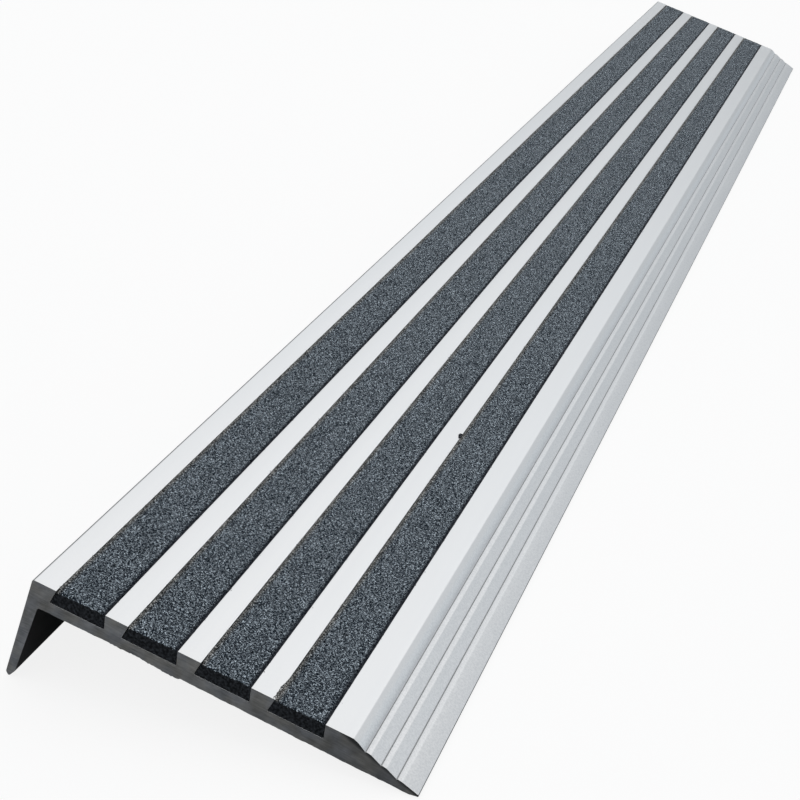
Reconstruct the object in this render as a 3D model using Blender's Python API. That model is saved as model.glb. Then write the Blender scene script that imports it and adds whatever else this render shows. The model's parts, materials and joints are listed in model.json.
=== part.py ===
"""Aluminium stair nosing with four abrasive strips.

One extruded profile: a tread plate with four dovetail slots, a stepped ramp down to a thin
back edge, and a tapered leg that hangs over the riser. Each slot holds a strip of abrasive
grit in resin. The nosing lies on a level floor as it comes to rest, on the tip of its leg
and on its back edge, with its length along Y and its nose at -X.

Sizes are in metres. In the section, x runs from the nose to the back edge, and z is measured
up from the tread surface, so everything below that surface is negative.
"""

import math

import bmesh
import bpy
from mathutils import Matrix, Vector

# Whole profile
LENGTH = 0.690
PLATE_THICKNESS = 0.0053
LEG_HEIGHT = 0.0225

# Tread surface, from the nose to the back
NOSE_LAND = 0.005
SLOT_OPENING = 0.0101
SLOT_COUNT = 4
RIB_WIDTH = 0.0048
BACK_LAND = 0.0053
NOSE_RADIUS = 0.0005

# Dovetail slots
SLOT_DEPTH = 0.003
SLOT_UNDERCUT = 0.0006
SLOT_LIP_RADIUS = 0.00012
SLOT_ROOT_RADIUS = 0.0002

# Abrasive strips
STRIP_CLEARANCE = 0.0003
STRIP_PROUD = 0.0001
STRIP_EDGE_RADIUS = 0.00035

# Stepped ramp behind the last slot
CREST_RUN = 0.003
CREST_DROP = 0.0014
CREST_LEAD = 0.0003
CREST_RADIUS = 0.0012
CREST_SHOULDER_RUN = 0.00145
CREST_SHOULDER_DROP = 0.00042
CREST_SHOULDER_RADIUS = 0.0036
STEP_COUNT = 3
STEP_PITCH = 0.0035
STEP_DROP = 0.00115
STEP_LAND = 0.0013
STEP_LAND_FALL = 0.00015
STEP_SHOULDER_RADIUS = 0.0009
STEP_GROOVE_WIDTH = 0.00032
STEP_GROOVE_DEPTH = 0.0002
TAIL_RUN = 0.0049
BACK_EDGE_THICKNESS = 0.00045
BACK_EDGE_RADIUS = 0.00018

# Leg
LEG_ROOT_THICKNESS = 0.0025
LEG_TIP_THICKNESS = 0.00175
LEG_TIP_FLAT = 0.0008
LEG_TIP_CHAMFER = 0.0017
LEG_TIP_RADIUS = 0.0007
LEG_FILLET_RADIUS = 0.0005

ARC_STEP = math.radians(6.0)


def corner(x, z, radius=0.0):
    """One corner of an outline, with the radius that rounds it."""
    return Vector((x, z)), radius


def rounded(corners):
    """The points of a closed outline whose corners are rounded by tangent arcs."""
    points = []
    for i, (here, radius) in enumerate(corners):
        before = (corners[i - 1][0] - here).normalized()
        after = (corners[(i + 1) % len(corners)][0] - here).normalized()
        turn = math.pi - before.angle(after)
        if radius == 0.0 or turn < 1e-6:
            points.append(here)
            continue
        reach = radius * math.tan(turn / 2)
        centre = here + (before + after).normalized() * (radius / math.cos(turn / 2))
        start = here + before * reach - centre
        side = 1.0 if before.x * after.y - before.y * after.x < 0 else -1.0
        steps = max(2, math.ceil(turn / ARC_STEP))
        for step in range(steps + 1):
            spin = Matrix.Rotation(side * turn * step / steps, 2)
            points.append(centre + spin @ start)
    return points


def slot_left_edges():
    """The x of each slot's left lip."""
    pitch = SLOT_OPENING + RIB_WIDTH
    return [NOSE_LAND + i * pitch for i in range(SLOT_COUNT)]


def slot_corners(left):
    """A dovetail slot, from its left lip to its right one."""
    right = left + SLOT_OPENING
    return [
        corner(left, 0.0, SLOT_LIP_RADIUS),
        corner(left - SLOT_UNDERCUT, -SLOT_DEPTH, SLOT_ROOT_RADIUS),
        corner(right + SLOT_UNDERCUT, -SLOT_DEPTH, SLOT_ROOT_RADIUS),
        corner(right, 0.0, SLOT_LIP_RADIUS),
    ]


def ramp_corners(start):
    """The crest and the treads of the ramp, down to the top of the thin back edge."""
    foot_x = start + CREST_RUN
    foot_z = -CREST_DROP
    corners = [
        corner(start + CREST_LEAD, 0.0, CREST_RADIUS),
        corner(start + CREST_SHOULDER_RUN, -CREST_SHOULDER_DROP, CREST_SHOULDER_RADIUS),
    ]
    for _ in range(STEP_COUNT):
        corners += [
            corner(foot_x, foot_z),
            corner(foot_x + STEP_GROOVE_WIDTH / 2, foot_z - STEP_GROOVE_DEPTH),
            corner(foot_x + STEP_GROOVE_WIDTH, foot_z),
            corner(foot_x + STEP_LAND, foot_z - STEP_LAND_FALL, STEP_SHOULDER_RADIUS),
        ]
        foot_x += STEP_PITCH
        foot_z -= STEP_DROP
    back = foot_x - STEP_PITCH + TAIL_RUN
    corners += [
        corner(back, BACK_EDGE_THICKNESS - PLATE_THICKNESS, BACK_EDGE_RADIUS),
        corner(back, -PLATE_THICKNESS, BACK_EDGE_RADIUS),
    ]
    return corners


def leg_corners():
    """The leg, from its fillet under the plate round its rounded tip to the nose."""
    return [
        corner(LEG_ROOT_THICKNESS, -PLATE_THICKNESS, LEG_FILLET_RADIUS),
        corner(LEG_TIP_THICKNESS, LEG_TIP_CHAMFER - LEG_HEIGHT, LEG_TIP_RADIUS),
        corner(LEG_TIP_FLAT, -LEG_HEIGHT, LEG_TIP_RADIUS / 2),
        corner(0.0, LEG_TIP_FLAT - LEG_HEIGHT, LEG_TIP_RADIUS),
        corner(0.0, 0.0, NOSE_RADIUS),
    ]


def profile_outline():
    """The whole section of the extrusion, clockwise from the first slot."""
    corners = []
    for left in slot_left_edges():
        corners += slot_corners(left)
    last_lip = slot_left_edges()[-1] + SLOT_OPENING
    corners += ramp_corners(last_lip + BACK_LAND)
    corners += leg_corners()
    return rounded(corners)


def strip_outline(left):
    """The section of one strip: the slot's own shape, drawn in by the clearance."""
    floor = STRIP_CLEARANCE - SLOT_DEPTH
    lean = SLOT_UNDERCUT / SLOT_DEPTH
    inset = STRIP_CLEARANCE * math.hypot(1.0, lean)
    right = left + SLOT_OPENING

    def wall(z):
        return inset + z * lean

    return rounded(
        [
            corner(left + wall(STRIP_PROUD), STRIP_PROUD, STRIP_EDGE_RADIUS),
            corner(right - wall(STRIP_PROUD), STRIP_PROUD, STRIP_EDGE_RADIUS),
            corner(right - wall(floor), floor, SLOT_ROOT_RADIUS),
            corner(left + wall(floor), floor, SLOT_ROOT_RADIUS),
        ]
    )


def rest_angle(outline):
    """The tilt about Y at which the leg's tip and the back edge both touch the floor."""
    leg = [p for p in outline if p.y < -PLATE_THICKNESS]
    tail = [p for p in outline if p.x > leg[0].x and p.y < 0.0]
    return min(max(math.atan2(q.y - p.y, q.x - p.x) for p in leg) for q in tail)


def finish(name, colour, metallic, roughness):
    """A plain material of one colour."""
    material = bpy.data.materials.new(name)
    material.use_nodes = True
    shader = material.node_tree.nodes["Principled BSDF"]
    shader.inputs["Base Color"].default_value = (*colour, 1.0)
    shader.inputs["Metallic"].default_value = metallic
    shader.inputs["Roughness"].default_value = roughness
    material.diffuse_color = (*colour, 1.0)
    return material


def extrusion(name, outline, material, parent):
    """A solid of the section's outline, drawn out to the full length along Y."""
    mesh = bpy.data.meshes.new(name)
    solid = bmesh.new()
    near = [solid.verts.new((p.x, -LENGTH / 2, p.y)) for p in outline]
    face = solid.faces.new(near)
    drawn = bmesh.ops.extrude_face_region(solid, geom=[face])
    far = [v for v in drawn["geom"] if isinstance(v, bmesh.types.BMVert)]
    bmesh.ops.translate(solid, verts=far, vec=(0.0, LENGTH, 0.0))
    bmesh.ops.recalc_face_normals(solid, faces=solid.faces)
    solid.to_mesh(mesh)
    solid.free()
    mesh.materials.append(material)
    mesh.shade_smooth()
    mesh.set_sharp_from_angle(angle=math.radians(30.0))
    piece = bpy.data.objects.new(name, mesh)
    piece.parent = parent
    bpy.context.scene.collection.objects.link(piece)
    return piece


def resting_frame(outline):
    """An empty that tilts the section to rest, its bounding box centred over the origin."""
    tilt = rest_angle(outline)
    turned = [Matrix.Rotation(-tilt, 2) @ p for p in outline]
    xs = [p.x for p in turned]
    lowest = min(p.y for p in turned)
    frame = bpy.data.objects.new("resting_frame", None)
    frame.rotation_euler = (0.0, tilt, 0.0)
    frame.location = (-(min(xs) + max(xs)) / 2, 0.0, -lowest)
    bpy.context.scene.collection.objects.link(frame)
    return frame


def build():
    for obj in list(bpy.data.objects):
        bpy.data.objects.remove(obj)
    section = profile_outline()
    frame = resting_frame(section)
    aluminium = finish("satin_anodised_aluminium", (0.78, 0.79, 0.80), 1.0, 0.42)
    grit = finish("black_abrasive_grit", (0.035, 0.038, 0.045), 0.0, 0.9)
    extrusion("nosing_profile", section, aluminium, frame)
    for number, left in enumerate(slot_left_edges(), start=1):
        extrusion(f"abrasive_strip_{number}", strip_outline(left), grit, frame)


build()
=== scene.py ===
# %% [markdown]
# # A stair nosing with abrasive strips
#
# The object is one aluminium extrusion with four dovetail slots, and a strip of black
# abrasive grit in each slot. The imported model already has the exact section, so this lesson
# starts from it, and spends its effort on what a solid model leaves out: broken edges, a
# sawn end with its burr, single grains, and the finish of metal and grit.

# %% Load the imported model
import json
import math

import bmesh
import bpy
import numpy as np
from mathutils import Matrix, Vector, noise


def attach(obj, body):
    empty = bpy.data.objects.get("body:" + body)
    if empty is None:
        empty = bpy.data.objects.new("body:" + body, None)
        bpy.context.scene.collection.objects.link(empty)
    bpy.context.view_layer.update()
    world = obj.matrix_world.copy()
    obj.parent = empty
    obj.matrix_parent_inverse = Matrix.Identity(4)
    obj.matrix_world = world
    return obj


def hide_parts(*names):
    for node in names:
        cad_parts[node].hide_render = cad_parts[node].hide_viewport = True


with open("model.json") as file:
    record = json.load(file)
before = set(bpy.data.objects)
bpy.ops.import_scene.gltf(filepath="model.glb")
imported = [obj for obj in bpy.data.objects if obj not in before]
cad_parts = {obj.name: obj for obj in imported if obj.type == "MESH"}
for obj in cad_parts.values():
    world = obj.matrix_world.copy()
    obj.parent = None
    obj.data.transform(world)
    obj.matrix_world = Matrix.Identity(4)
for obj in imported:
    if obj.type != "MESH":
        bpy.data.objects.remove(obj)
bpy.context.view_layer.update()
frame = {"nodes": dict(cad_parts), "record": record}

print("packed nodes:", ", ".join(sorted(frame["nodes"])))

# %% [markdown]
# ## The section's own axes
#
# The nosing lies tilted, on the tip of its leg and on its back edge. Everything about it is
# easier to think of with the tread level, so the next cell finds the tilt from the packed
# record, where the seat under the tread plate has its normal. From then on x runs from the
# nose to the back edge, y along the length from the near end, and z up from the tread
# surface. A piece is modelled level, and its mesh is turned by `rest` when it is finished, so
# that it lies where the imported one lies. The finishes undo that turn, and work in level axes.

# %% Find the resting tilt and the nose corner
seat = next(m for m in frame["record"]["mounts"] if m["name"] == "tread_seat")
tilt = math.atan2(-seat["axis"][0], -seat["axis"][2])
level = Matrix.Rotation(-tilt, 4, "Y")
corners = [level @ v.co for v in frame["nodes"]["nosing_profile"].data.vertices]
nose = Vector((min(c.x for c in corners), min(c.y for c in corners), max(c.z for c in corners)))
rest = level.inverted() @ Matrix.Translation(nose)
length = max(c.y for c in corners) - nose.y
width = max(c.x for c in corners) - nose.x
print(f"tilt {math.degrees(tilt):.2f} degrees, {length * 1000:.1f} by {width * 1000:.1f} mm")

# %% [markdown]
# ## The section as a line of points
#
# An extruded piece is its section and a length, so the section is read back from the packed
# mesh instead of being typed again. The mesh is welded, the triangles of the near end are
# found by their height along y, and the edges that only one of them uses are the outline.
# Walking from edge to edge puts its points in order.


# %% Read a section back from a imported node
def section_of(node):
    """The outline of a node's near end, as (x, z) points in order."""
    solid = bmesh.new()
    solid.from_mesh(frame["nodes"][node].data)
    bmesh.ops.transform(solid, matrix=rest.inverted(), verts=solid.verts)
    bmesh.ops.remove_doubles(solid, verts=solid.verts, dist=1e-6)
    near = min(v.co.y for v in solid.verts) + 1e-5
    cap = {f for f in solid.faces if all(v.co.y < near for v in f.verts)}
    rim = [e for e in solid.edges if len(cap.intersection(e.link_faces)) == 1]
    follow = {}
    for edge in rim:
        for vert in edge.verts:
            follow.setdefault(vert, []).append(edge.other_vert(vert))
    start = here = min(follow, key=lambda v: (v.co.x, v.co.z))
    before, outline = None, []
    while not outline or here is not start:
        outline.append((here.co.x, here.co.z))
        step = follow[here][0] if follow[here][0] is not before else follow[here][1]
        before, here = here, step
    solid.free()
    area = sum(a[0] * b[1] - b[0] * a[1] for a, b in zip(outline, outline[1:] + outline[:1]))
    return outline if area > 0 else outline[::-1]


profile_section = section_of("nosing_profile")
strip_sections = [section_of(f"abrasive_strip_{n}") for n in range(1, 5)]
print("points in the profile's section:", len(profile_section))

# %% [markdown]
# ## The camera
#
# The photograph looks along the length from above the back edge. Its place was worked out
# from the long parallel edges and the near end's corners. It is written with the tread
# level, like everything else, and `rest` tilts it together with the object.

# %% Place the camera
CAMERA_PLACE = Vector((0.08862, -0.24988, 0.18973))
CAMERA_TURNS = (("Z", 18.2487), ("Y", -18.8771), ("X", 62.0518))

camera = bpy.data.objects.new("camera", bpy.data.cameras.new("camera"))
bpy.context.scene.collection.objects.link(camera)
camera.data.lens = 78.39
camera.data.sensor_width = 36.0
camera.data.clip_start = 0.02
stand = Matrix.Translation(CAMERA_PLACE)
for axis, degrees in CAMERA_TURNS:
    stand = stand @ Matrix.Rotation(math.radians(degrees), 4, axis)
camera.matrix_world = rest @ stand
bpy.context.scene.camera = camera
print("camera at", [round(v, 3) for v in camera.matrix_world.translation])

# %% [markdown]
# ## Shader maths as plain expressions
#
# A procedural finish is mostly arithmetic on a few patterns. Wired by hand, `1 - mask * 0.3`
# takes two nodes and three links. The class below holds one socket and turns Python's own
# operators into Math nodes, so that the finishes further down read as formulas. Everything
# that isn't arithmetic comes from one method, `node`, that takes a type, its settings and
# the values or links of its sockets.


# %% A socket that can be calculated with
class Wire:
    """One output socket. Arithmetic on it adds Math nodes to its tree."""

    def __init__(self, recipe, socket):
        self.recipe, self.socket = recipe, socket

    def math(self, operation, *inputs, clamp=False):
        settings = {"operation": operation, "use_clamp": clamp}
        return self.recipe.node("ShaderNodeMath", settings, dict(enumerate(inputs)))

    def __add__(self, other):
        return self.math("ADD", self, other)

    def __sub__(self, other):
        return self.math("SUBTRACT", self, other)

    def __rsub__(self, other):
        return self.math("SUBTRACT", other, self)

    def __mul__(self, other):
        return self.math("MULTIPLY", self, other)

    def __truediv__(self, other):
        return self.math("DIVIDE", self, other)

    def __rtruediv__(self, other):
        return self.math("DIVIDE", other, self)

    def __gt__(self, other):
        return self.math("GREATER_THAN", self, other)

    def __lt__(self, other):
        return self.math("LESS_THAN", self, other)

    def __abs__(self):
        return self.math("ABSOLUTE", self)

    __radd__, __rmul__ = __add__, __mul__

    def at_least(self, other):
        """The larger one of two values."""
        return self.math("MAXIMUM", self, other)

    def ramp(self, low, high):
        """0 where the value is low, 1 where it is high, and straight in between."""
        return self.math("DIVIDE", self - low, high - low, clamp=True)

    def towards(self, other, share):
        """This value where share is 0, the other one where it is 1."""
        return self + share * (other - self)


# %% A node tree that makes such sockets
class Recipe:
    """The node tree of one material or of the world."""

    def __init__(self, owner):
        owner.use_nodes = True
        self.owner, self.tree = owner, owner.node_tree

    def node(self, kind, settings=None, inputs=None, output=0):
        made = self.tree.nodes.new(kind)
        for name, value in (settings or {}).items():
            setattr(made, name, value)
        self.feed(made, inputs or {})
        return Wire(self, made.outputs[output])

    def feed(self, made, inputs):
        for name, value in inputs.items():
            if isinstance(value, Wire):
                self.tree.links.new(value.socket, made.inputs[name])
            else:
                made.inputs[name].default_value = value

    def place(self, scale=(1.0, 1.0, 1.0)):
        """The place in the section's level axes, stretched, for a texture to be laid out in."""
        back = rest.inverted()
        here = self.node("ShaderNodeTexCoord", output="Object")
        turned = {"Vector": here, "Location": back.translation, "Rotation": back.to_euler()}
        level = self.node("ShaderNodeMapping", inputs=turned)
        return self.node("ShaderNodeVectorMath", {"operation": "MULTIPLY"}, {0: level, 1: scale})

    def across(self, axis, vector=None):
        """One coordinate of a vector, or of the place on the object."""
        return self.node("ShaderNodeSeparateXYZ", inputs={0: vector or self.place()}, output=axis)

    def attribute(self, name):
        """A number that is stored on the points of the mesh."""
        return self.node("ShaderNodeAttribute", {"attribute_name": name}, output="Fac")

    def noise(self, scale, place, detail=2.0, roughness=0.5):
        inputs = {"Vector": place, "Scale": scale, "Detail": detail, "Roughness": roughness}
        return self.node("ShaderNodeTexNoise", inputs=inputs)

    def bump(self, height, strength, depth):
        """The normal of a surface with that relief, its depth in metres."""
        inputs = {"Strength": strength, "Distance": depth, "Height": height}
        return self.node("ShaderNodeBump", inputs=inputs)

    def mix(self, share, one, other):
        """A colour between two others. The Mix node's sockets 6 and 7 are its two colours."""
        one, other = (c if isinstance(c, Wire) else (*c, 1.0) for c in (one, other))
        sockets = {0: share, 6: one, 7: other}
        return self.node("ShaderNodeMix", {"data_type": "RGBA"}, sockets, output=2)


def finish(name, **sockets):
    """A material with those values on its shader's own sockets, and the recipe to add to it."""
    material = bpy.data.materials.new(name)
    recipe = Recipe(material)
    recipe.shader = recipe.tree.nodes["Principled BSDF"]
    recipe.feed(recipe.shader, {k.replace("_", " "): v for k, v in sockets.items()})
    return recipe


# %% [markdown]
# ## The metal
#
# The profile is satin anodised aluminium. A die leaves lines that run along the length and
# vary only across it, so a noise pattern squeezed along y gives them, once for their relief
# and once for a faint change of gloss. The saw leaves the ends dull, with short marks of its
# own, and their dark grey is partly painted shade. The surface's normal tells an end from the
# rest: only there does it point along y. The ramp is a little mottled, because a polishing belt
# reaches only the tread. Painted shade darkens the ramp's grooves, the rounded nose, the thin
# back edge and above all the inner side of the leg, and the sawn end under the ramp.

# %% Patterns of the die, the hand and the saw
metal = finish("satin_anodised_aluminium", Metallic=1.0)
die_lines = metal.noise(1.0, metal.place((3200.0, 1.2, 3200.0)), 3.0, 0.65)
soft_bands = metal.noise(1.0, metal.place((260.0, 0.8, 260.0)), 2.0)
mottling = metal.noise(2400.0, metal.place(), 2.0)
handling = metal.noise(1.0, metal.place((420.0, 35.0, 420.0)), 4.0, 0.6)
saw_marks = metal.noise(1.0, metal.place((260.0, 1.0, 2600.0)), 4.0, 0.7)
smears = metal.noise(330.0, metal.place(), 3.0)
warmth = metal.noise(210.0, metal.place(), 1.0)
print("nodes in the metal's patterns:", len(metal.tree.nodes))

# %% Parts of the section, told apart by place and normal
PLATE_THICKNESS = 0.0053
RAMP_SLOPE = 0.308

from_nose, height = metal.across(0), metal.across(2)
facing = metal.node("ShaderNodeNewGeometry", output="Normal")
sawn = abs(metal.across(1, facing)) > 0.75
on_ramp = from_nose.ramp(0.0655, 0.067)
in_groove = metal.attribute("tucked")
shaded_inside_leg = metal.across(0, facing).ramp(0.4, 0.8) * (height < -PLATE_THICKNESS - 0.0003)
nose_edge = from_nose.ramp(0.0005, 0.0002) * (height > -0.0006)
back_edge = from_nose.ramp(width - 0.00016, width - 0.0001)
ramp_rim = (height + from_nose * RAMP_SLOPE).ramp(0.01894, 0.01954)
under_ramp = ramp_rim * from_nose.ramp(0.058, 0.064)
print("nodes with the parts of the section:", len(metal.tree.nodes))

# %% Colour of the drawn faces, with painted shade
TREAD_TONES = (0.77, 0.78, 0.79), (0.83, 0.83, 0.825)
RAMP_TONES = (0.71, 0.72, 0.73), (0.91, 0.91, 0.91)
LEG_INSIDE_SHADE = (0.05, 0.05, 0.054)
EDGE_AND_GROOVE_SHADE = (0.11, 0.115, 0.12)

drawn = metal.mix(soft_bands, *TREAD_TONES)
drawn = metal.mix(on_ramp * 0.55, drawn, metal.mix(mottling.ramp(0.35, 0.65), *RAMP_TONES))
# painted shade: the inside of the leg, in the shadow under the plate, is coloured almost black
drawn = metal.mix(shaded_inside_leg * 0.97, drawn, LEG_INSIDE_SHADE)
# painted shade: the ramp's grooves, the rounded nose and the thin back edge are coloured darker
painted_shade = (in_groove.ramp(0.0, 0.9) * 0.5).at_least(back_edge * 0.9).at_least(nose_edge * 0.75)
drawn = metal.mix(painted_shade, drawn, EDGE_AND_GROOVE_SHADE)
print("tread tones", TREAD_TONES, "ramp tones", RAMP_TONES)

# %% Colour of the sawn ends, partly painted shade
SAWN_COOL = (0.155, 0.162, 0.173), (0.41, 0.42, 0.44)
SAWN_WARM = (0.155, 0.155, 0.15), (0.40, 0.395, 0.38)
SAWN_SHADED = (0.02, 0.022, 0.024)

# the sawn ends' dark grey is partly their dull cut and partly painted shade
marks = saw_marks.ramp(0.3, 0.7) * 0.55 + smears.ramp(0.35, 0.65) * 0.45
cut = [metal.mix(marks, *tones) for tones in (SAWN_COOL, SAWN_WARM)]
sawn_dull_and_shaded = metal.mix(warmth.ramp(0.4, 0.6), *cut)
# painted shade: the sawn end is darker still under the ramp and towards the ramp's side
sawn_dull_and_shaded = metal.mix(under_ramp * 0.6 + from_nose.ramp(0.045, 0.066) * 0.28, sawn_dull_and_shaded, SAWN_SHADED)
print("sawn tones", SAWN_COOL, SAWN_WARM)

# %% Satin aluminium with sawn ends
relief = die_lines * (1.0 - sawn) + saw_marks * sawn
metal.feed(
    metal.shader,
    {
        "Base Color": metal.mix(sawn, drawn, sawn_dull_and_shaded),
        "Metallic": 1.0 - sawn * 0.2,
        "Roughness": 0.28 + handling * 0.07 + die_lines * 0.05 + sawn * 0.24,
        "Normal": metal.bump(relief, strength=0.35, depth=0.00004),
    },
)
print("finished", metal.owner.name)

# %% [markdown]
# ## The grit
#
# The strips are silicon carbide grains in black resin. Each grain is a small crystal with
# its own tilt, so some flash and most stay dark. One way is a cell pattern alone, but its
# cells look like tiles. Here the middle values of a noise draw thin bright veins, a second
# noise breaks them up, and the cells only vary how much each piece flashes. Beside the left
# lip the grit is a little warmer. Beside the right lip, where it lies deeper, painted shadow
# makes it almost black. The ends, where the saw went through the strip, are almost black too.

# %% Flashing grains
NARROW = (1.0, 1.35, 1.0)

grit = finish("black_abrasive_grit", Metallic=0.9)
tone = grit.noise(2200.0, grit.place(NARROW), 2.0)
veins = grit.noise(2500.0, grit.place(NARROW), 2.0, 0.6)
patches = grit.noise(300.0, grit.place(), 3.0)
fine = grit.noise(5200.0, grit.place(), 2.0)
cells = {"Vector": grit.place(), "Scale": 3200.0}
flash = grit.across(0, grit.node("ShaderNodeTexVoronoi", inputs=cells, output="Color"))
vein = abs(veins - 0.5).ramp(0.06, 0.01)
speck = vein * tone.ramp(0.42, 0.54) * (0.35 + flash * 0.75) * (0.75 + patches * 0.5)
print("nodes in the grit's patterns:", len(grit.tree.nodes))

# %% Black abrasive grit
CRYSTAL = (0.80, 0.91, 1.0), (0.74, 0.73, 0.70)
BOND = (0.011, 0.018, 0.027), (0.027, 0.027, 0.0255)
DEEP_AND_SHADOWED = (0.007, 0.009, 0.015)

beside_left = grit.attribute("from_left").ramp(1.1, 0.15)
# painted shadow: beside the right lip the grit is coloured almost black, as the lip's shadow
beside_right = grit.attribute("from_right").ramp(0.85, 0.3)
lit = grit.mix(speck, grit.mix(beside_left, *BOND), grit.mix(beside_left, *CRYSTAL))
grit.feed(
    grit.shader,
    {
        "Base Color": grit.mix(beside_right * 0.92, lit, DEEP_AND_SHADOWED),
        "Roughness": 0.3 + tone * 0.25,
        "Normal": grit.bump(fine + tone * 0.6, strength=0.7, depth=0.00009),
    },
)
print("finished", grit.owner.name)

# %% Cut resin on the strips' ends
CUT_RESIN = (0.004, 0.005, 0.0065), (0.045, 0.05, 0.058)

resin = finish("cut_black_resin", Specular_IOR_Level=0.12, Roughness=0.7)
torn = resin.noise(1900.0, resin.place(), 3.0)
resin.feed(
    resin.shader,
    {
        "Base Color": resin.mix(torn.ramp(0.4, 0.75), *CUT_RESIN),
        "Normal": resin.bump(torn, strength=0.5, depth=0.0001),
    },
)
print("finished", resin.owner.name)

# %% [markdown]
# ## Drawing a section out along the length
#
# Each long piece is a stack of rings: the same section, repeated at chosen places along y
# and joined by quads, with a face over each end. The function takes the rings ready made, so
# that they may differ from each other, which the burr and the grains need.


# %% Join rings of points into a closed piece
def lofted(name, rings, recipe):
    """A closed mesh from an array of rings, shape (rings, points, 3), in level axes."""
    count, around = rings.shape[:2]
    first = np.arange(count - 1)[:, None] * around
    here, there = np.arange(around)[None, :], (np.arange(around) + 1) % around
    this_ring = first + here, first + there
    next_ring = first + around + there, first + around + here
    quads = np.stack([*this_ring, *next_ring], axis=-1)
    caps = [list(range(around))[::-1], list(range((count - 1) * around, count * around))]
    mesh = bpy.data.meshes.new(name)
    mesh.from_pydata(rings.reshape(-1, 3).tolist(), [], quads.reshape(-1, 4).tolist() + caps)
    mesh.materials.append(recipe.owner)
    return bpy.data.objects.new(name, mesh)


def store(piece, name, values):
    """Stores one number for each point of a piece, for its finish to read."""
    kept = piece.data.attributes.new(name, "FLOAT", "POINT")
    kept.data.foreach_set("value", values.ravel())


def settle(piece, node=None):
    """Tilts a piece made in level axes as the nosing lies, links it under the root body, and
    hides the imported node it replaces, if any.
    """
    piece.data.transform(rest)
    bpy.context.scene.collection.objects.link(piece)
    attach(piece, "root")
    if node:
        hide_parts(node)
    print(f"{piece.name}: {len(piece.data.polygons)} faces")


# %% [markdown]
# ## The profile and the marks of the saw
#
# A saw leaves a burr where its teeth come out, here along the underside of the near end, and
# less of it at the far one. It hangs lowest under the ramp and in a small flap before the
# middle, and towards the leg the metal is torn out a little instead. Only the last ring of
# points moves, and the next one, a tooth's depth inside, stays straight. The sharp rims are
# then broken by a tiny bevel.


# %% The burr below the underside
BURR, FLAP, TORN, FRINGE, UNEVEN = 0.00030, 0.00036, 0.00022, 0.00018, 0.00010
FLAP_END = 0.0320


def rise(value, low, high):
    """0 at low and 1 at high, straight in between and held beyond. Low may be the larger."""
    return min(max((value - low) / (high - low), 0.0), 1.0)


def ragged(x, seed):
    """How far the saw's burr hangs below the underside at x, or how deep it is torn."""
    wave = 0.7 * noise.noise(Vector((x * 1100.0, seed, 0.0)))
    wave += noise.noise(Vector((x * 330.0, seed, 5.0)))
    hang = BURR * rise(x, 0.024, 0.064) * rise(x, 0.0796, 0.0784)
    flap = FLAP * rise(x, 0.0235, 0.0295) * rise(x, FLAP_END, FLAP_END - 0.0003)
    torn = TORN * rise(x, 0.036, 0.026) * rise(x, 0.006, 0.014) * rise(wave, -0.3125, 0.3125)
    fringe = FRINGE * noise.noise(Vector((x * 2300.0, seed, 9.0))) * rise(x, 0.015, 0.018)
    return hang + wave * UNEVEN + fringe * (x < FLAP_END) + flap - torn


def finer(points, step):
    """The outline with its long underside cut into short pieces."""
    cut = []
    for (x, z), (x_next, z_next) in zip(points, points[1:] + points[:1]):
        run = abs(x_next - x)
        pieces = int(run / step) if max(z, z_next) < -0.005 and run > 0.02 else 1
        cut += [
            (x + (x_next - x) * k / pieces, z + (z_next - z) * k / pieces) for k in range(pieces)
        ]
    return cut


# %% Draw the profile out with its burr
TOOTH = 0.0003
LEG_CORNER = 0.0032

profile_points = np.array(finer(profile_section, TOOTH))
stations = (0.0, TOOTH, length - TOOTH, length)
rings = np.array([[(x, y, z) for x, z in profile_points] for y in stations])
under = np.abs(profile_points[:, 1] + PLATE_THICKNESS) < 1e-5
under &= profile_points[:, 0] > LEG_CORNER
for ring, seed, share in ((0, 3.0, 1.0), (-1, 11.0, 0.5)):
    rings[ring, under, 2] -= np.array([ragged(x, seed) * share for x in profile_points[under, 0]])
profile = lofted("nosing", rings, metal)
print("points along the burr:", int(under.sum()))

# %% Mark the grooves of the ramp, where the finish paints shade
sides = np.roll(profile_points, -1, axis=0) - profile_points
before = np.roll(sides, 1, axis=0)
turns = np.cross(before, sides) / np.hypot(*sides.T) / np.hypot(*before.T)
tucked = np.where((profile_points[:, 0] > 0.066) & (turns < -0.3), 1.0, 0.0)
# the corner before each groove gets a quarter, so the painted shade fades up the slope
tucked[np.flatnonzero(tucked == 1.0) - 1] = 0.25
store(profile, "tucked", np.tile(tucked, len(stations)))
print("inside corners on the ramp:", int((tucked == 1.0).sum()))

# %% Break the rims of the sawn ends
RIM = 0.00006


def at_end(edge):
    """Whether an edge lies in the plane of one of the sawn ends."""
    return any(all(abs(v.co.y - y) < 1e-6 for v in edge.verts) for y in (0.0, length))


ends = bmesh.new()
ends.from_mesh(profile.data)
bmesh.ops.recalc_face_normals(ends, faces=ends.faces)
rims = [edge for edge in ends.edges if at_end(edge)]
bmesh.ops.bevel(ends, geom=rims, offset=RIM, segments=2, affect="EDGES", profile=0.5)
ends.to_mesh(profile.data)
ends.free()
profile.data.shade_smooth()
profile.data.set_sharp_from_angle(angle=math.radians(22.0))
settle(profile, "nosing_profile")

# %% [markdown]
# ## The grains as real relief
#
# A bump pattern alone looks painted on when the light is low, so the grains are modelled.
# The top of each strip is a fine grid whose points are thrown about at random, each about
# half a grain, and shaded flat: every facet then has a tilt of its own, as crystals have.
# The strip dips towards both lips, where the filler was wiped off, and its border creeps a
# little over them. On the last strip a smear of filler also covers the lip at the near end.

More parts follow.
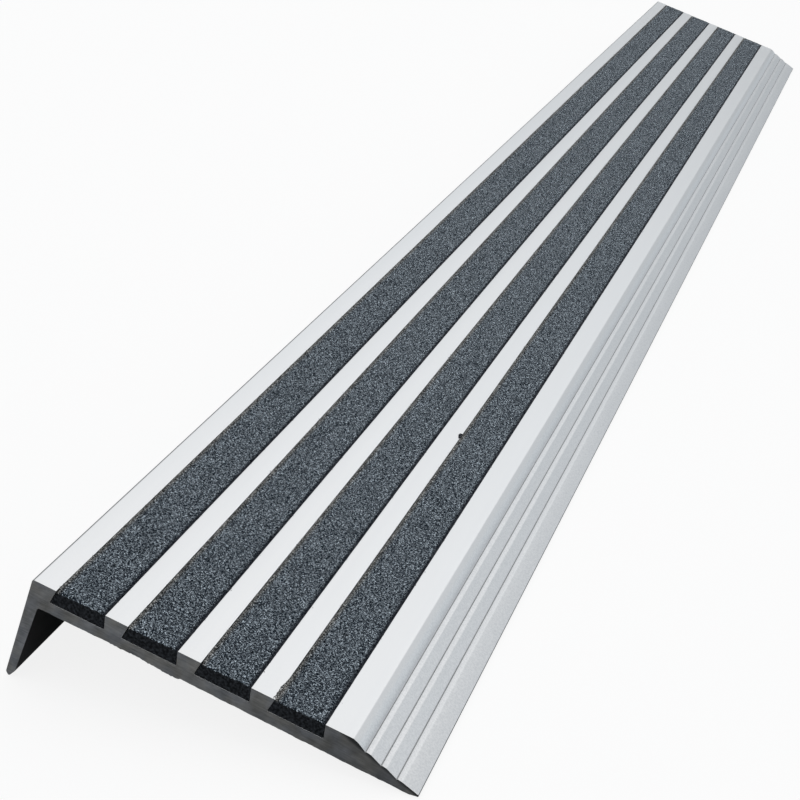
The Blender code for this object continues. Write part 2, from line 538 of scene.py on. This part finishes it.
# %% Sizes of the grains
GRAIN = 0.00029
THROW = 0.00012
SPREAD = 0.42
CROWN = 0.00006
LEFT_DIP = 0.00005
RIGHT_DIP = 0.00024
DIP_REACH = 0.0006
END_DIP = 0.0004
END_REACH = 0.0004
STRIP_GAP = 0.0003
BED = 0.00003
SLOT_LEAN = 0.2
CREEP = 0.00012
CREEP_HEIGHT = 0.00003
SMEAR = 0.0005
SMEAR_REACH = 0.009


# %% Give a strip its crown, its grains and its borders
def crowned(x, y, left, right):
    """The height of a strip's top before its grains: lower at both lips and at the ends."""
    z = CROWN - (CROWN + LEFT_DIP) * np.exp(-(((x - left) / DIP_REACH) ** 1.5))
    z = z - (CROWN + RIGHT_DIP) * np.exp(-(((right - x) / DIP_REACH) ** 1.5))
    from_end = np.minimum(y, length - y)
    fall = END_DIP * (1.0 - 0.8 * (x - left) / (right - left))
    return z - fall * np.exp(-((from_end / END_REACH) ** 1.5))


def thrown(x, y, z, left, right, luck):
    """The points of the top, thrown up and down and aside, less so beside the lips."""
    row, column = np.indices(x.shape)
    loose = np.minimum(np.minimum(x - left, right - x) / GRAIN, 1.0)
    inner = np.ones_like(y)
    inner[[0, -1]] = 0.0
    peaks = np.where((row + column) % 2, 1.0, -1.0) * luck.uniform(0.25, 1.0, x.shape)
    peaks = peaks + luck.normal(0.0, 0.3, x.shape)
    z = z + peaks.clip(-1.3, 1.3) * THROW * (0.25 + 0.75 * loose)
    x = x + luck.uniform(-SPREAD, SPREAD, x.shape) * GRAIN * loose
    y = y + luck.uniform(-SPREAD, SPREAD, x.shape) * GRAIN * inner
    return x, y, z


def creeping(x, z, along, smeared, luck):
    """Lets both borders creep over the lips, and the filler smear over the left one."""
    window = np.hanning(7)[1:-1] / 3
    for side, sign in ((0, -1.0), (-1, 1.0)):
        creep = np.convolve(luck.normal(0.35, 1.0, len(along)), window, mode="same")
        creep = creep.clip(0.0, 2.0) * CREEP
        if smeared and side == 0:
            fade = ((SMEAR_REACH - along) / SMEAR_REACH).clip(0.0, 0.6)
            creep = creep + SMEAR * fade * luck.uniform(1.2, 2.0, len(along))
        x[:, side] += sign * creep
        z[:, side] = np.where(creep > 0.00002, CREEP_HEIGHT, z[:, side])


# %% One strip of grit
def grit_strip(number, section):
    """A strip that fills its slot, with its grains as a rough top."""
    luck = np.random.default_rng(40 + number)
    floor = min(z for x, z in section) - STRIP_GAP + BED
    left_foot = min(x for x, z in section) - (STRIP_GAP - BED)
    right_foot = max(x for x, z in section) + (STRIP_GAP - BED)
    left = left_foot + SLOT_LEAN * (-LEFT_DIP - floor)
    right = right_foot - SLOT_LEAN * (-RIGHT_DIP - floor)
    along = np.linspace(RIM, length - RIM, int(length / GRAIN))
    x, y = np.meshgrid(np.linspace(left, right, int((right - left) / GRAIN)), along)
    x, y, z = thrown(x, y, crowned(x, y, left, right), left, right, luck)
    creeping(x, z, along, number == 4, luck)
    top = np.stack([x, y, z], axis=-1)[:, ::-1]
    feet = [
        np.stack([np.full(len(along), foot), along, np.full(len(along), floor)], axis=-1)
        for foot in (left_foot, right_foot)
    ]
    rings = np.concatenate([top, np.stack(feet, axis=1)], axis=1)
    strip = lofted(f"grit_strip_{number}", rings, grit)
    strip.data.materials.append(resin.owner)
    for cap in strip.data.polygons[-2:]:
        cap.material_index = 1
    store(strip, "from_left", (rings[..., 0] - left) * 1000.0)
    store(strip, "from_right", (right - rings[..., 0]) * 1000.0)
    settle(strip, f"abrasive_strip_{number}")


for number, section in enumerate(strip_sections, start=1):
    grit_strip(number, section)

# %% [markdown]
# ## Grains that got away
#
# Some grit always ends up on the aluminium: a few grains beside the lips, and in one place
# a lump of them. Each is a small crystal, pressed a little into the surface it lies on.

# %% Places and sizes of the stray grains
GRAINS_PER_LIP = 70
LIP_INSET = 0.0005

chance = np.random.default_rng(5)
spots = [
    (0.04938, 0.1263, 0.00034),
    (0.04932, 0.1254, 0.00038),
    (0.04945, 0.1246, 0.00034),
    (0.0492, 0.1259, 0.0003),
]
for section in strip_sections:
    left_lip = min(x for x, z in section) - STRIP_GAP + LIP_INSET
    right_lip = max(x for x, z in section) + STRIP_GAP - LIP_INSET
    for lip, way in ((left_lip, -1.0), (right_lip, 1.0)):
        for _ in range(GRAINS_PER_LIP):
            off = abs(chance.normal(0.0, 0.00016)) * way
            along, size = chance.uniform(0.001, length - 0.001), chance.uniform(0.00004, 0.00010)
            spots.append((lip + off, along, size))
print("stray grains:", len(spots))

# %% Stray grains
grains = bmesh.new()
for x, y, size in spots:
    turn = Matrix.Rotation(chance.uniform(0.0, 6.28), 4, Vector(chance.normal(size=3)))
    wide, long = size * chance.uniform(0.8, 1.3), size * chance.uniform(0.8, 1.5)
    flat = Matrix.Diagonal((wide, long, size * 0.6, 1.0))
    place = Matrix.Translation((x, y, size * 0.25)) @ flat @ turn
    bmesh.ops.create_icosphere(grains, subdivisions=1, radius=1.0, matrix=place)
stray = bpy.data.objects.new("stray_grains", bpy.data.meshes.new("stray_grains"))
grains.to_mesh(stray.data)
grains.free()
stray.data.materials.append(grit.owner)
settle(stray)

# %% [markdown]
# ## A floor
#
# The photograph is a cut-out on white. A large floor stands for it: the camera sees it mostly
# as plain white, and a part of it stays an ordinary surface so that the nosing keeps a soft
# shadow. Only the camera sees that white. The metal sees a grey floor, because a white one
# would light up the sawn end and the inside of the leg.

# %% A white floor
bpy.ops.mesh.primitive_plane_add(size=30.0, location=(0.0, 0.0, -0.0002))
floor = bpy.context.object
floor.name = "floor"
paper = finish("white_floor", Roughness=1.0)
white = paper.node("ShaderNodeEmission", inputs={"Strength": 1.0})
seen = paper.node("ShaderNodeLightPath", output="Is Camera Ray")
paper.feed(paper.shader, {"Base Color": paper.mix(seen, (0.3, 0.3, 0.3), (0.95, 0.95, 0.95))})
plain = Wire(paper, paper.shader.outputs[0])
mixed = paper.node("ShaderNodeMixShader", inputs={0: seen * 0.85, 1: plain, 2: white})
paper.feed(paper.tree.nodes["Material Output"], {"Surface": mixed})
floor.data.materials.append(paper.owner)
print("finished", paper.owner.name)

# %% [markdown]
# ## The light
#
# Bare metal shows what stands around it, so its tones are made by the surroundings more than
# by a lamp. The dome is bright from about 20 degrees up, which is what the tread reflects,
# and greyer on the side of the ramp, which parts the ramp's steps from the tread. `lean` says
# how far a direction leans to that side. The near side and the nose's side are lifted again,
# so that the nosing also reads well from the back, and the dome dims towards its top, where
# one wide lamp hangs that gives the soft shadow. The camera itself sees plain white behind
# the floor, and everything else sees the dome.

# %% The height and lean of a direction
dome = bpy.data.worlds.new("studio")
bpy.context.scene.world = dome
sky = Recipe(dome)
direction = sky.node("ShaderNodeTexCoord", output="Generated")
right, back, up = (sky.across(axis, direction) for axis in range(3))
lean = right / up.at_least(0.05)
print("nodes for the directions:", len(sky.tree.nodes))

# %% The soft dome of the studio
glow = 0.05 + up.ramp(0.13, 0.34) * 0.99 + up.ramp(0.34, 0.65) * 0.06
beside = lean.ramp(0.1, 0.35) * lean.ramp(0.6, 0.4)
glow = glow * (1.0 + beside * (up.ramp(0.25, 0.45) * 0.3 - 0.1))
greyer = 0.235 + up.ramp(0.1, 0.36) * 0.42 + lean.ramp(0.6, 1.4) * 0.155
glow = glow.towards(greyer + lean.ramp(1.6, 2.3) * 0.27, lean.ramp(0.38, 0.80))
glow = glow * (1.0 - lean.ramp(-0.4, -1.0) * 0.45)
near_side = 1.0 - back.ramp(-0.4, 0.3)
glow = glow.towards(0.35 + up.ramp(0.1, 0.45) * 0.5, near_side)
nose_side = right.ramp(-0.1, -0.5) * back.ramp(0.8, 0.5)
glow = glow.towards(0.8 + up.ramp(0.1, 0.5) * 0.1, nose_side)
glow = glow * (1.0 - up.ramp(0.65, 0.9) * 0.4)
tint = sky.mix(up.ramp(0.1, 0.6), (0.86, 0.935, 1.0), (0.985, 0.99, 1.0))
seen = sky.node("ShaderNodeLightPath", output="Is Camera Ray")
colour = sky.mix(seen, tint, (1.0, 1.0, 1.0))
sky.feed(sky.tree.nodes["Background"], {"Color": colour, "Strength": glow.towards(1.0, seen)})
print("nodes in the dome:", len(sky.tree.nodes))

# %% A soft lamp overhead
lamp = bpy.data.lights.new("overhead", "AREA")
lamp.shape, lamp.size, lamp.energy = "DISK", 1.8, 4.0
overhead = bpy.data.objects.new("overhead", lamp)
overhead.location = (-0.25, 0.1, 1.6)
overhead.rotation_euler = (-overhead.location).to_track_quat("-Z", "Y").to_euler()
bpy.context.scene.collection.objects.link(overhead)
bpy.context.scene.view_settings.view_transform = "Standard"
print("lamp at", tuple(overhead.location), "with", lamp.energy, "watts")
